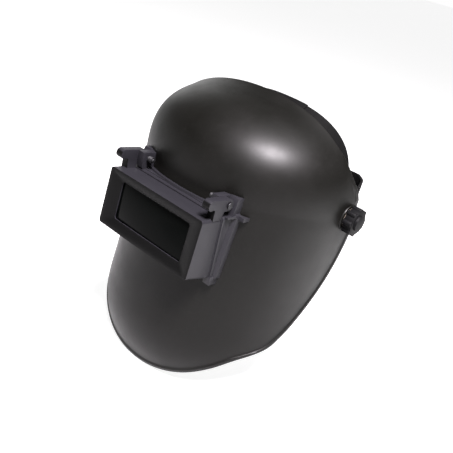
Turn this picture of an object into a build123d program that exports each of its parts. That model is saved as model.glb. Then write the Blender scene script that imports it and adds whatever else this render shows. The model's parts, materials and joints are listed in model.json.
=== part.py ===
from build123d import *
import math
import os

# Welding helmet: a moulded black shell with a lift-front lens holder, hung on a ratchet headgear
# by two ear pivots. Millimetres. The origin is midway between the ear pivots, +X to the wearer's
# left, +Y backwards and +Z up. Each piece is written to parts/NAME.step in this one frame.

# Shell surface
HALF_WIDTH = 126.5  # from the middle to the outside at the ears
CROWN_Z = 88.0
CHIN_Z = -211.0
FRONT_DEPTH = 125.5  # from the section's centre to its front
BACK_DEPTH = 106.0  # the back half of the section, most of it cut away
CENTRE_Y = 4.4
CENTRE_SHIFT_UP = -4.1  # how far the section's centre has moved at the crown
CENTRE_SHIFT_DOWN = -21.9  # and at the chin
SIDE_TAPER = 0.05  # the shell narrows towards the chin
FRONT_SWELL = 0.04  # and deepens
CURL_START = 0.69  # share of the way to the chin where it begins to curl under
CURL = 0.16
DOME_POWER = 2.7
FRONT_POWER = 2.1
WALL = 2.5

# Rear edge of the shell, seen from the side: height and how far back
REAR_EDGE = [
    (88, -20), (70, -20), (45, -9), (20, 7), (0, 14), (-30, 13), (-70, 0), (-110, -24), (-140, -47),
    (-150, -57), (-165, -87), (-180, -103), (-196, -116), (-211, -127.5),
]
BEAD_WIDTH = 4.5
BEAD_HEIGHT = 1.6
BEAD_ROOT = 1.0  # how deep the bead starts in the wall
BEAD_TOP_Z = 40.0
LIP_STATIONS = [(-48.0, -0.8), (-36.0, 0.3), (-27.0, 2.2), (-18.0, 7.0)]  # Y, and rise out of the dome
LIP_SIDE_Z = 25.0  # the lip has faded into the dome by this height
LIP_SIDE_SINK = 0.8  # at the sides the lip lies this far inside the dome
LIP_INSIDE_SINK = 1.6  # the lip's inner surface starts this much deeper

# Lens holder
WINDOW_Y = -156.0  # the lift front's face
WINDOW_Z = -40.5
WINDOW_LEAN = 3.0  # degrees, top backwards
SPLIT_LEAN = 4.0  # degrees, top forwards: where the lift front meets the base frame
SPLIT_Y = -127.1
SPLIT_Z = -43.0
FRAME_WIDTH = 130.0
FRAME_HEIGHT = 62.0
FRAME_REAR = (40.0, 131.0, 67.0, 2.0)  # depth, width, height and drop of its rear end
PLATE_WIDTH = 108.0  # a standard 2 by 4 1/4 inch filter plate
PLATE_HEIGHT = 51.0
PLATE_GAP = 0.6  # round the plate in its pocket, in all
VIEW_WIDTH = 97.0
VIEW_HEIGHT = 41.0
MOUTH_FRONT = (-0.5, 124.0, 56.0, 0.0)  # the bevelled mouth, just ahead of the face
MOUTH_DEPTH = 4.0
PLATE_SEAT = 5.5  # from the lift front's face back to the plates
OPENING_WIDTH = 116.0  # the shell's hole behind the lens holder
OPENING_HEIGHT = 56.0
SLEEVE_WIDTH = 115.0
SLEEVE_HEIGHT = 55.0
FLANGE = 3.6  # the base frame's flange, measured out from the shell
SIDE_FLANGE = 6.0  # thicker beside the window
LIFT_GAP = 0.6  # between that flange and the closed lift front
CLAMP_THICKNESS = 3.15  # of the retaining frame inside
FIT_GAP = 0.15  # between faces that are clamped together
SCREW_RADIUS = 1.6
SCREW_SEATS = {22.0: 25.5, -22.0: 20.5}  # height: depth of the screw heads behind the split plane
SCREW_X = 62.4

# Lift front hinge, in the lift front's own frame: depth and height from the middle of its face
HINGE_DEPTH = 31.0
HINGE_HEIGHT = 45.0
HINGE_RADIUS = 6.0
HINGE_TOP = HINGE_HEIGHT + HINGE_RADIUS  # the level top of ears and cheeks
NOSE_DEPTH = 6.5  # the rounded thumb nose in front of each ear
NOSE_RADIUS = 5.0
PIN_RADIUS = 2.0
RUNNING_GAP = 0.05  # on the radius, between a turning shaft and its hole
EAR_INSIDE = 57.0
EAR_OUTSIDE = 65.5
CHEEK_X = (48.5, 56.5)
END_PLATE_X = (56.5, 67.0)

# Ear pivots: stations along X from the middle outwards
ARM_X = (115.5, 118.0)
STOP_X = (118.1, 119.9)
INNER_WASHER_X = (120.0, 120.9)
BOSS_X = (121.0, 127.0)
OUTER_WASHER_X = (127.1, 128.1)
KNOB_X = (128.3, 141.0)
BOLT_RADIUS = 4.0
BOSS_RADIUS = 15.0
WASHER_SHADOW = 1.5  # the edge bead is cut back this far round the boss, clear of the outer washer
STOP_RADIUS = 14.5  # of the shell's stop peg about the pivot
STOP_PEG_RADIUS = 2.0
LIFT_RANGE = 75.0  # degrees the shell swings up

# Headband, in its own frame, which is tilted so that the back sits lower
BAND_TILT = -8.0
BAND_HALF_WIDTH = 77.0
BAND_FRONT_CENTRE_Y = 24.0
BAND_FRONT_DEPTH = 112.0
BAND_BACK_CENTRE_Y = 44.0
BAND_THICKNESS = 1.6
BAND_Z = (4.0, 32.0)
TAIL_Z = (4.0, 22.0)
STRAP_MIDDLE_Z = 13.0
STRAP_HEIGHT = 18.0
LEFT_STRAP_R = (78.3, 79.7)
RIGHT_STRAP_R = (80.2, 81.6)
STRAP_START = 16.0  # degrees behind the side
STRAP_END = 108.0
TAIL_END = 50.0
PEG_ANGLE = 31.0
STRAP_TRAVEL = 8.0  # degrees each way
PEG_RADIUS = 2.5

# Rivets that join the band, the crown strap and the side arms: in the band's frame, then level
RIVET_RADIUS = 2.0
RIVET_BAND_Y = 48.0
RIVET_BAND_Z = 22.0
TILT = math.radians(BAND_TILT)
RIVET_Y = RIVET_BAND_Y * math.cos(TILT) - RIVET_BAND_Z * math.sin(TILT)
RIVET_Z = RIVET_BAND_Y * math.sin(TILT) + RIVET_BAND_Z * math.cos(TILT)

# Ratchet
TEETH = 9
PITCH_RADIUS = 4.5
ADDENDUM = 0.7
DEDENDUM = 1.1
TOOTH_WIDTH = 1.1  # at the pitch line
TOOTH_TIP = 0.6
SHAFT_RADIUS = 3.0
SHAFT_END = 93.0
HOUSING_ANGLES = (66, 114)
HOUSING_Z = (-2.0, 28.0)
HOUSING_SCREW_ANGLES = (71, 109)
HOUSING_SCREW_Z = 25.2
HOUSING_SCREW_RADIUS = 1.25

# Crown strap, in its own frame: it leans forward about the rivets, its arch seen from the front
CROWN_STRAP_LEAN = 30.0
CROWN_STRAP_WIDTH = 22.0
CROWN_STRAP_HALF_SPAN = 82.0
CROWN_STRAP_BASE = 10.0  # above the rivets, where the straight legs end
CROWN_STRAP_RISE = 64.2
CROWN_STRAP_FOOT = -9.0
CROWN_STRAP_POWER = 2.55
CROWN_STRAP_THICKNESS = 1.4
CROWN_LAP_GAP = 0.15
CROWN_OVERLAP = 26.0  # how far each half reaches past the middle
CROWN_HOLE_PITCH = 12.0
CROWN_HOLE_RADIUS = 2.6
CROWN_PEG_RADIUS = 2.2
CROWN_PEG_LENGTH = 3.6

LEFT, RIGHT = 1, -1
written = []


def save(name, *shapes):
    """Writes one node, made of one or more separate solids."""
    solids = []
    for shape in shapes:
        solids.extend(shape.solids())
    thing = solids[0] if len(solids) == 1 else Compound(children=solids)
    thing.label = name
    export_step(thing, f"parts/{name}.step")
    written.append(name)


def mirrored(shape):
    """The same piece for the wearer's right."""
    return mirror(shape, about=Plane.YZ)


def side_of(shape, side):
    """The piece as it is on the wearer's left, or its mirror image on the right."""
    return shape if side == LEFT else mirrored(shape)


def disc(radius, span):
    """A cylinder about the pivot axis between two stations along X."""
    low, high = span
    return Plane.YZ.offset(low) * extrude_circle(radius, high - low)


def extrude_circle(radius, length):
    return extrude(Circle(radius), length)


def block(x_span, y_span, z_span):
    size = [high - low for low, high in (x_span, y_span, z_span)]
    middle = [(high + low) / 2 for low, high in (x_span, y_span, z_span)]
    return Pos(*middle) * Box(*size)


def side_plate(points, x_span):
    """A flat plate whose outline is given from the side as (y, z) points."""
    outline = Plane.YZ.offset(x_span[0]) * make_face(Polyline(*points, close=True))
    return extrude(outline, x_span[1] - x_span[0], dir=(1, 0, 0))


# ---------------------------------------------------------------- shell surface


def section_sizes(z, grow):
    """Half-width, front depth, back depth and centre of the level section, moved out by grow."""
    up = max(z, 0.0) / (CROWN_Z + grow)
    dome = max(1 - up**DOME_POWER, 0.0) ** (1 / DOME_POWER)
    down = max(z / CHIN_Z, 0.0)
    curl_share = max((down - CURL_START) / (1 - CURL_START), 0.0)
    curl = 1 - CURL * curl_share**2.2
    half = (HALF_WIDTH * (1 - SIDE_TAPER * down**1.5) * curl + grow) * dome
    front = (FRONT_DEPTH * (1 + FRONT_SWELL * down**1.5) * curl + grow) * dome
    back = (BACK_DEPTH + grow) * dome
    centre = CENTRE_Y + CENTRE_SHIFT_UP * max(z, 0.0) / CROWN_Z + CENTRE_SHIFT_DOWN * down
    return half, front, back, centre


def section_point(z, grow, turn):
    """A point of the level section; turn runs round it from the wearer's left through the front."""
    half, front, back, centre = section_sizes(z, grow)
    c, s = math.cos(turn), math.sin(turn)
    if s < 0:
        return half * c, centre - back * s, z
    power = 2 / FRONT_POWER
    return half * math.copysign(abs(c) ** power, c), centre - front * s**power, z


def form(grow):
    """The whole closed form of the shell, of which the rear is later cut away."""
    heights = [CHIN_Z - 4, -198, -183, -167, -150, -125, -95, -60, -25, 0]
    top = CROWN_Z + grow
    heights += [top * share for share in (0.25, 0.45, 0.62, 0.75, 0.85, 0.92, 0.965, 0.99, 0.9985)]
    wires = []
    for z in heights:
        turns = [2 * math.pi * i / 32 for i in range(32)]
        points = [section_point(z, grow, turn) for turn in turns]
        wires.append(Wire([Spline(*points, periodic=True)]))
    return Solid.make_loft(wires)


def lip_form(grow, start_sink=0.0):
    """The crown's turned-up rear edge as a tapering body along Y, moved out by grow."""
    sections = []
    for y, rise in LIP_STATIONS:
        sink = start_sink if y == LIP_STATIONS[0][0] else 0.0
        points = [crown_point(y, math.pi * i / 24, rise, grow - sink) for i in range(25)]
        top = Spline(*points)
        bottom = Line(points[-1], points[0])
        sections.append(Wire([top, bottom]))
    return Solid.make_loft(sections)


def crown_point(y, angle, rise, grow):
    """A point over the dome's outline at one station along Y; angle runs from side to side over the top."""
    low, high = 0.0, 200.0
    for _ in range(40):
        reach = (low + high) / 2
        x, z = reach * math.cos(angle), LIP_SIDE_Z + reach * math.sin(angle)
        inside = z < CROWN_Z and point_inside(x, y, z)
        low, high = (reach, high) if inside else (low, reach)
    fade = math.sin(angle) ** 0.8
    out = low + (rise + LIP_SIDE_SINK) * fade - LIP_SIDE_SINK + grow
    return out * math.cos(angle), y, LIP_SIDE_Z + out * math.sin(angle)


def point_inside(x, y, z):
    half, front, back, centre = section_sizes(z, 0.0)
    if half < 1e-6:
        return False
    depth = abs(y - centre) / (front if y < centre else back)
    power = FRONT_POWER if y < centre else 2.0
    return (abs(x) / half) ** power + depth**power < 1


def rear_curve(inset):
    """The rear edge moved forward and in by inset, as points (y, z)."""
    points = [(y, z) for z, y in REAR_EDGE]
    moved = []
    for i, (y, z) in enumerate(points):
        before, after = points[max(i - 1, 0)], points[min(i + 1, len(points) - 1)]
        dy, dz = after[0] - before[0], after[1] - before[1]
        length = math.hypot(dy, dz)
        moved.append((y + inset * dz / length, z - inset * dy / length))
    return moved


def kept_region(inset=0.0, back_limit=None):
    """Everything ahead of the rear edge, or only the band between it and back_limit."""
    edge = rear_curve(inset)
    edge = [(edge[0][0], edge[0][1] + 40), *edge, (edge[-1][0] - 6, edge[-1][1] - 10)]
    front = Spline(*[(y, z) for y, z in edge])
    if back_limit is None:
        far = Polyline(edge[-1], (-200, edge[-1][1]), (-200, edge[0][1]), edge[0])
    else:
        other = rear_curve(back_limit)
        other = [(other[0][0], other[0][1] + 40), *other, (other[-1][0] - 6, other[-1][1] - 10)]
        far = Line(edge[-1], other[-1]) + Spline(*other[::-1]) + Line(other[0], edge[0])
    face = Plane.YZ.offset(-200) * make_face(front + far)
    return extrude(face, 400, dir=(1, 0, 0))


def lift_frame():
    """Placement of the lift front: its face's middle, leaning back."""
    return Location((0, WINDOW_Y, WINDOW_Z), (-WINDOW_LEAN, 0, 0))


def split_frame():
    """Placement of the plane where the lift front meets the base frame."""
    return Location((0, SPLIT_Y, SPLIT_Z), (SPLIT_LEAN, 0, 0))


def upright(width, height, depth_span, corner=0.0):
    """A block standing across the view, its corners rounded, between two depths."""
    shape = RectangleRounded(width, height, corner) if corner else Rectangle(width, height)
    low, high = depth_span
    return Plane.XZ.offset(-low) * extrude(shape, -(high - low))


def shell(outer, inner):
    lip_outer, lip_inner = lip_form(0.0), lip_form(-WALL, LIP_INSIDE_SINK)
    body = (outer + lip_outer) - (inner + lip_inner)
    body = body & kept_region()
    bead = (form(BEAD_HEIGHT) - form(-BEAD_ROOT)) & kept_region(0.0, BEAD_WIDTH)
    bead = bead & block((-200, 200), (-200, 60), (-230, BEAD_TOP_Z))
    body = body + bead
    for side in (LEFT, RIGHT):
        body = body + side_of(disc(BOSS_RADIUS, BOSS_X), side)
    peg = stop_peg()
    body = body + peg + mirrored(peg)
    for side in (LEFT, RIGHT):
        body = body - side_of(disc(BOLT_RADIUS + RUNNING_GAP, (110, 130)), side)
        body = body - side_of(disc(BOSS_RADIUS + WASHER_SHADOW, (BOSS_X[1], 132)), side)
    body = body - split_frame() * upright(OPENING_WIDTH, OPENING_HEIGHT, (-20, 60), 4)
    for x, z in screw_places():
        body = body - split_frame() * Pos(x, 0, z) * along_depth(SCREW_RADIUS + 0.2, (-5, 60))
    return body


def stop_peg():
    angle = math.radians(-60)
    y, z = STOP_RADIUS * math.cos(angle), STOP_RADIUS * math.sin(angle)
    return Pos(0, y, z) * disc(STOP_PEG_RADIUS, (118.3, 122.5))


# ---------------------------------------------------------------- lens holder


def ahead_of_split(gap):
    """Everything ahead of the split plane by at least gap."""
    return split_frame() * upright(300, 300, (-120, -gap))


def tapered(near, far):
    """A block across the view that changes size with depth; each end is (depth, width, height, drop)."""
    faces = []
    for depth, width, height, drop in (near, far):
        outline = Pos(0, -drop) * RectangleRounded(width, height, 3)
        faces.append(Plane.XZ.offset(-depth) * outline)
    return loft(faces)


def lift_front():
    outer = tapered((0, FRAME_WIDTH, FRAME_HEIGHT, 0), FRAME_REAR)
    body = (lift_frame() * outer) & ahead_of_split(0.0)
    body = body - form(FLANGE + LIFT_GAP)
    mouth = tapered(MOUTH_FRONT, (MOUTH_DEPTH, VIEW_WIDTH, VIEW_HEIGHT, 0))
    body = body - lift_frame() * mouth
    body = body - lift_frame() * upright(VIEW_WIDTH, VIEW_HEIGHT, (-1, 60), 3)
    pocket = upright(PLATE_WIDTH + PLATE_GAP, PLATE_HEIGHT + PLATE_GAP, (PLATE_SEAT, 60), 1)
    body = body - lift_frame() * pocket
    for side in (LEFT, RIGHT):
        slot = Pos(side * 55.5, PLATE_SEAT + 7.2, 0) * Box(5, 1.6, 20)
        body = body - lift_frame() * slot
        body = body + lift_frame() * hinge_ear(side)
        bore = side_of(disc(PIN_RADIUS + RUNNING_GAP, (40, 80)), side)
        body = body - lift_frame() * Pos(0, HINGE_DEPTH, HINGE_HEIGHT) * bore
    return body


def hinge_ear(side):
    """The arm at each top corner: a rounded thumb nose hooking forward and the hinge eye behind."""
    span = (EAR_INSIDE, EAR_OUTSIDE)
    nose_z = HINGE_TOP - NOSE_RADIUS
    arm = side_plate(
        [(13, 30), (12, 41), (NOSE_DEPTH, nose_z - 3), (NOSE_DEPTH, HINGE_TOP), (HINGE_DEPTH, HINGE_TOP),
         (HINGE_DEPTH, HINGE_HEIGHT - HINGE_RADIUS), (26, HINGE_HEIGHT - HINGE_RADIUS), (24, 30)],
        span,
    )
    arm = arm + Pos(0, NOSE_DEPTH, nose_z) * disc(NOSE_RADIUS, span)
    arm = arm + Pos(0, HINGE_DEPTH, HINGE_HEIGHT) * disc(HINGE_RADIUS, span)
    return side_of(arm, side)


def hinge_bracket():
    """The base frame's fixed hinge cheek, the end plate behind the ear and its foot, on the left."""
    cheek = side_plate(
        [(21, HINGE_TOP), (60, HINGE_TOP), (60, 25), (29, 31), (26, 33.5), (23, 36.5), (21, 42)],
        CHEEK_X,
    )
    end_plate = side_plate([(40.0, 47), (41.5, 51.5), (75, 51.5), (75, 30), (39.5, 30)], END_PLATE_X)
    foot = block((64, 76), (46, 80), (30.5, 34.5))
    return cheek + end_plate + foot


def base_frame(outside):
    """The fixed frame: body, flange along the shell, sleeve through it and hinge brackets."""
    body = lift_frame() * upright(131, 65, (15, 80), 3)
    footprint = lift_frame() * upright(139, 72, (10, 80), 4)
    beside = block((-100, -50), (-200, 0), (-200, 50)) + block((50, 100), (-200, 0), (-200, 50))
    flange = footprint & form(FLANGE)
    side_flange = footprint & form(SIDE_FLANGE) & beside
    rib = split_frame() * upright(133.5, 67.5, (1.5, 5.0), 3)
    for side in (LEFT, RIGHT):
        body = body + lift_frame() * side_of(hinge_bracket(), side)
        catch = block((60, 68), (34, 60), (-41, -32))
        body = body + lift_frame() * side_of(catch, side)
    body = (body + rib + side_flange) & split_frame() * upright(300, 300, (0.4, 120))
    body = body + flange
    body = body + (lift_frame() * block((-69, 69), (30, 75), (32, 34)))
    for side in (LEFT, RIGHT):
        near_ear = block((EAR_INSIDE - 0.5, EAR_OUTSIDE + 3), (10, 39), (33.2, 60))
        body = body - lift_frame() * side_of(near_ear, side)
    body = body - outside
    sleeve = split_frame() * upright(SLEEVE_WIDTH, SLEEVE_HEIGHT, (0.4, 24), 3)
    lower_sleeve = split_frame() * upright(SLEEVE_WIDTH, SLEEVE_HEIGHT, (-12, 10), 3) & form(FLANGE)
    body = body + sleeve + lower_sleeve
    body = body - split_frame() * upright(VIEW_WIDTH + 1, VIEW_HEIGHT + 1, (-10, 60), 3)
    pocket = upright(PLATE_WIDTH + PLATE_GAP, PLATE_HEIGHT + PLATE_GAP, (-14, 4.6), 1)
    body = body - split_frame() * pocket
    for side in (LEFT, RIGHT):
        clip_slot = Pos(side * 53.5, 1.75, 0) * Box(9, 1.3, 24.6)
        body = body - split_frame() * clip_slot
        bore = side_of(disc(PIN_RADIUS, (30, 80)), side)
        body = body - lift_frame() * Pos(0, HINGE_DEPTH, HINGE_HEIGHT) * bore
    for x, z in screw_places():
        body = body - split_frame() * Pos(x, 0, z) * along_depth(SCREW_RADIUS, (7.0, 60))
    return body


def screw_places():
    return [(x, z) for x in (-SCREW_X, SCREW_X) for z in SCREW_SEATS]


def along_depth(radius, span):
    """A cylinder along the split frame's depth."""
    low, high = span
    return Plane.XZ.offset(-low) * extrude(Circle(radius), -(high - low))


def retaining_frame(inside):
    """A ring clamped against the shell's inner face round the sleeve."""
    ring = split_frame() * upright(136, 76, (0, 45), 6)
    ring = ring & inside
    ring = ring - form(-WALL - FIT_GAP - CLAMP_THICKNESS)
    ring = ring - split_frame() * upright(OPENING_WIDTH - 0.2, OPENING_HEIGHT - 0.2, (-10, 80), 3)
    for x, z in screw_places():
        ring = ring - split_frame() * Pos(x, 0, z) * along_depth(SCREW_RADIUS + 0.2, (-10, 60))
        ring = ring - split_frame() * Pos(x, 0, z) * along_depth(3.1, (SCREW_SEATS[z], 60))
    return ring


def frame_screw(x, z):
    seat = SCREW_SEATS[z]
    screw = along_depth(SCREW_RADIUS, (8.0, seat + 0.2))
    screw = screw + along_depth(2.9, (seat + 0.1, seat + 2.1))
    return split_frame() * Pos(x, 0, z) * screw


def plate_in(frame, seat, thickness, opening=None):
    plate = upright(PLATE_WIDTH, PLATE_HEIGHT, (seat, seat + thickness))
    if opening:
        plate = plate - upright(*opening, (seat - 1, seat + thickness + 1), 3)
    return frame * plate


def retaining_spring():
    """A flat spring frame whose ends snap into the lift front's side slots."""
    depth = (PLATE_SEAT + 6.6, PLATE_SEAT + 7.8)
    ring = upright(106, 49, depth, 2) - upright(98, 42, (0, 60), 2)
    tabs = block((-57.3, -52), depth, (-9, 9)) + block((52, 57.3), depth, (-9, 9))
    return lift_frame() * (ring + tabs)


def plate_clip(side):
    clip = block((49.5, 57.6), (1.3, 2.1), (-12, 12))
    return split_frame() * side_of(clip, side)


def hinge_pin(side):
    pin = disc(PIN_RADIUS, (40.5, 66.2)) + disc(3.4, (66.0, 67.4))
    pin = Pos(0, HINGE_DEPTH, HINGE_HEIGHT) * pin
    return lift_frame() * side_of(pin, side)


def hinge_spring(side):
    """A torsion coil round the pin's inner end, as a stack of close turns."""
    turns = 5
    wire = 0.6
    coil = None
    for i in range(turns):
        ring = Pos(42.0 + 1.25 * i, 0, 0) * Rot(0, 90, 0) * Torus(PIN_RADIUS + 0.3 + wire, wire)
        coil = ring if coil is None else coil + ring
    bar = Pos(42.0 + 0.625 * (turns - 1), 0, PIN_RADIUS + 0.3 + 1.5 * wire)
    coil = coil + bar * Rot(0, 90, 0) * Cylinder(wire * 0.7, 1.25 * (turns - 1) + 0.8)
    coil = Pos(0, HINGE_DEPTH, HINGE_HEIGHT) * coil
    return lift_frame() * side_of(coil, side)


# ---------------------------------------------------------------- ear pivots


def pivot_bolt(side):
    bolt = disc(BOLT_RADIUS, (114.0, 138.0)) + disc(8.0, (112.6, 115.4))
    return side_of(bolt, side)


def stop_plate(side):
    """The limit disc: a notch in its rim lets the shell's peg travel."""
    plate = disc(18.0, STOP_X) - disc(BOLT_RADIUS, (110, 130))
    start, end = -60.0, -60.0 - LIFT_RANGE
    margin = math.degrees((STOP_PEG_RADIUS + 0.3) / STOP_RADIUS)
    angles = [start + margin - i * (LIFT_RANGE + 2 * margin) / 12 for i in range(13)]
    inner = [(11.5 * math.cos(math.radians(a)), 11.5 * math.sin(math.radians(a))) for a in angles]
    outer = [(30 * math.cos(math.radians(a)), 30 * math.sin(math.radians(a))) for a in angles]
    notch = side_plate([*inner, *outer[::-1]], (STOP_X[0] - 1, STOP_X[1] + 1))
    return side_of(plate - notch, side)


def washer(radius, span, side):
    return side_of(disc(radius, span) - disc(BOLT_RADIUS, (100, 150)), side)


def tension_knob(side):
    """A lobed hand knob with a round cap."""
    low, high = KNOB_X
    lobes = 8
    body = disc(13.2, (low, high - 2.5))
    for i in range(lobes):
        turn = 2 * math.pi * i / lobes
        body = body + Pos(0, 12.6 * math.cos(turn), 12.6 * math.sin(turn)) * disc(2.9, (low, high - 3))
    body = body + disc(8.5, (high - 3, high))
    body = body - disc(6.0, (low - 1, low + 6.0))
    body = body - disc(BOLT_RADIUS + 0.3, (low - 1, high - 2))
    return side_of(body, side)


def knob_nut(side):
    low = KNOB_X[0]
    nut = disc(6.0, (low + 0.2, low + 6.0)) - disc(BOLT_RADIUS + RUNNING_GAP, (100, 150))
    return side_of(nut, side)


# ---------------------------------------------------------------- headgear


def band_frame():
    return Location((0, 0, 0), (BAND_TILT, 0, 0))


def back_point(radius, angle):
    """A point on the band's rear arc: 0 is the wearer's left side, 90 the back."""
    turn = math.radians(angle)
    return radius * math.cos(turn), BAND_BACK_CENTRE_Y + radius * math.sin(turn)


def arc_plate(radii, angles, z_span):
    """A curved plate on the band's rear arc, between two radii and two angles."""
    inner, outer = radii
    start, end = angles
    middle = (start + end) / 2
    edges = [
        ThreePointArc(back_point(inner, start), back_point(inner, middle), back_point(inner, end)),
        Line(back_point(inner, end), back_point(outer, end)),
        ThreePointArc(back_point(outer, end), back_point(outer, middle), back_point(outer, start)),
        Line(back_point(outer, start), back_point(inner, start)),
    ]
    face = make_face(Wire(edges))
    low, high = z_span
    return Pos(0, 0, low) * extrude(face, high - low)


def at_back(angle, z):
    """Placement on the rear arc's axis, local X pointing outwards along the radius."""
    return Location((0, BAND_BACK_CENTRE_Y, z), (0, 0, angle))


def radial_disc(angle, z, radius, span):
    """A round peg along the radius of the rear arc."""
    return at_back(angle, z) * disc(radius, span)


def band_front(out, z_span):
    """The front of the band as a solid half oval, its surface moved out by out."""
    half = BAND_HALF_WIDTH + out
    depth = BAND_FRONT_DEPTH + out
    oval = Ellipse(half, depth) & Pos(0, -150) * Rectangle(400, 300)
    low, high = z_span
    return Pos(0, BAND_FRONT_CENTRE_Y, low) * extrude(oval, high - low)


def band_half_ring(out_low, out_high, z_span):
    return band_front(out_high, z_span) - band_front(out_low, (z_span[0] - 1, z_span[1] + 1))


def front_headband():
    half = BAND_THICKNESS / 2
    body = band_half_ring(-half, half, BAND_Z)
    low = BAND_HALF_WIDTH - half
    high = BAND_HALF_WIDTH + half
    for side in (LEFT, RIGHT):
        straight = block((low, high), (BAND_FRONT_CENTRE_Y, BAND_BACK_CENTRE_Y), BAND_Z)
        shoulder = arc_plate((low, high), (0, 12), BAND_Z)
        tail = arc_plate((low, high), (0, TAIL_END), TAIL_Z)
        peg = radial_disc(PEG_ANGLE, STRAP_MIDDLE_Z, PEG_RADIUS, (high - 0.5, RIGHT_STRAP_R[1] + 0.4))
        body = body + side_of(straight + shoulder + tail + peg, side)
        hole = disc(RIVET_RADIUS, (70, 90))
        body = body - side_of(Pos(0, RIVET_BAND_Y, RIVET_BAND_Z) * hole, side)
    return band_frame() * body


def peg_cap(side):
    """The snap cap that keeps a rear strap on its peg."""
    start = RIGHT_STRAP_R[1] + 0.5
    return band_frame() * side_of(radial_disc(PEG_ANGLE, STRAP_MIDDLE_Z, 4.5, (start, start + 1.6)), side)


def sweatband():
    body = band_half_ring(-7.0, -1.0, (BAND_Z[0] - 2, BAND_Z[1] + 2))
    front = block((-200, 200), (-200, -6), (-100, 100))
    return band_frame() * (body & front)


def strap(radii, upper):
    """A rear strap: rack teeth on one long edge of its back slot, a slot for the side peg."""
    low_z = STRAP_MIDDLE_Z - STRAP_HEIGHT / 2
    body = arc_plate(radii, (STRAP_START, STRAP_END), (low_z, low_z + STRAP_HEIGHT))
    span = (radii[0] - 2, radii[1] + 2)
    clear = STRAP_TRAVEL + 0.6
    slot = arc_plate(
        span,
        (PEG_ANGLE - clear, PEG_ANGLE + clear),
        (STRAP_MIDDLE_Z - PEG_RADIUS - 0.3, STRAP_MIDDLE_Z + PEG_RADIUS + 0.3),
    )
    for angle in (PEG_ANGLE - clear, PEG_ANGLE + clear):
        slot = slot + radial_disc(angle, STRAP_MIDDLE_Z, PEG_RADIUS + 0.3, span)
    toothed = PITCH_RADIUS + DEDENDUM
    plain = PITCH_RADIUS + ADDENDUM + 0.5
    sense = 1 if upper else -1
    ends = sorted((sense * toothed, -sense * plain))
    window = arc_plate(span, (77, 103), (STRAP_MIDDLE_Z + ends[0], STRAP_MIDDLE_Z + ends[1]))
    body = body - slot - window
    middle = (radii[0] + radii[1]) / 2
    pitch = math.degrees(2 * math.pi * PITCH_RADIUS / TEETH / middle)
    offset = 0.5 if upper else 0.0
    for i in range(-5, 6):
        angle = 90 + (i + offset) * pitch
        if 78 < angle < 102:
            body = body + rack_tooth(angle, radii, sense)
    return body


def rack_tooth(angle, radii, sense):
    root = sense * (PITCH_RADIUS + DEDENDUM + 0.3)
    tip = sense * (PITCH_RADIUS - ADDENDUM)
    pitch_line = sense * PITCH_RADIUS
    outline = tooth_outline(root, pitch_line, tip)
    face = Plane.YZ.offset(radii[0]) * make_face(Polyline(*outline, close=True))
    tooth = extrude(face, radii[1] - radii[0], dir=(1, 0, 0))
    return at_back(angle, STRAP_MIDDLE_Z) * tooth


def tooth_outline(root, pitch_line, tip):
    """A straight-sided tooth, wide at the root, as (across, along) points."""
    slope = (TOOTH_WIDTH - TOOTH_TIP) / 2 / abs(tip - pitch_line)
    root_half = TOOTH_WIDTH / 2 + slope * abs(root - pitch_line)
    tip_half = TOOTH_TIP / 2
    return [(-root_half, root), (root_half, root), (tip_half, tip), (-tip_half, tip)]


def rear_strap(side):
    if side == LEFT:
        return band_frame() * strap(LEFT_STRAP_R, upper=True)
    return band_frame() * mirrored(strap(RIGHT_STRAP_R, upper=False))


def pinion():
    """The ratchet's gear and its shaft, along the radius at the back."""
    span = (LEFT_STRAP_R[0] - 0.2, RIGHT_STRAP_R[1] + 0.3)
    core = PITCH_RADIUS - DEDENDUM
    gear = disc(core, span)
    for i in range(TEETH):
        outline = tooth_outline(core - 0.3, PITCH_RADIUS, PITCH_RADIUS + ADDENDUM)
        face = Plane.YZ.offset(span[0]) * make_face(Polyline(*outline, close=True))
        tooth = extrude(face, span[1] - span[0], dir=(1, 0, 0))
        gear = gear + Rot(360 * i / TEETH, 0, 0) * tooth
    shaft = disc(SHAFT_RADIUS, (span[1] - 0.5, SHAFT_END))
    return band_frame() * at_back(90, STRAP_MIDDLE_Z) * (gear + shaft)


def ratchet_knob():
    ribs = 12
    low, high, radius = 86.2, 97.0, 15.0
    body = disc(radius, (low, high))
    for i in range(ribs):
        turn = 2 * math.pi * i / ribs
        rib = disc(1.8, (low, high - 1.0))
        body = body + Pos(0, (radius - 0.2) * math.cos(turn), (radius - 0.2) * math.sin(turn)) * rib
    body = body - disc(SHAFT_RADIUS, (80, SHAFT_END))
    return band_frame() * at_back(90, STRAP_MIDDLE_Z) * body


def ratchet_plate():
    """The housing's inner plate, towards the head."""
    body = arc_plate((75.6, 77.6), HOUSING_ANGLES, HOUSING_Z)
    for angle in HOUSING_SCREW_ANGLES:
        body = body - radial_disc(angle, HOUSING_SCREW_Z, HOUSING_SCREW_RADIUS, (60, 90))
    return band_frame() * body


def ratchet_cover():
    """The housing's outer cover, with walls above and below the straps."""
    body = arc_plate((77.7, 85.4), HOUSING_ANGLES, HOUSING_Z)
    channel = (STRAP_MIDDLE_Z - STRAP_HEIGHT / 2 - 0.4, STRAP_MIDDLE_Z + STRAP_HEIGHT / 2 + 0.4)
    body = body - arc_plate((70, 82.8), (60, 120), channel)
    body = body - radial_disc(90, STRAP_MIDDLE_Z, SHAFT_RADIUS + RUNNING_GAP, (70, 100))
    for angle in HOUSING_SCREW_ANGLES:
        body = body - radial_disc(angle, HOUSING_SCREW_Z, HOUSING_SCREW_RADIUS, (60, 84))
    return band_frame() * body


def housing_screw(angle):
    shank = radial_disc(angle, HOUSING_SCREW_Z, HOUSING_SCREW_RADIUS, (75.4, 83.5))
    head = radial_disc(angle, HOUSING_SCREW_Z, 2.3, (74.2, 75.5))
    return band_frame() * (shank + head)


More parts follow.
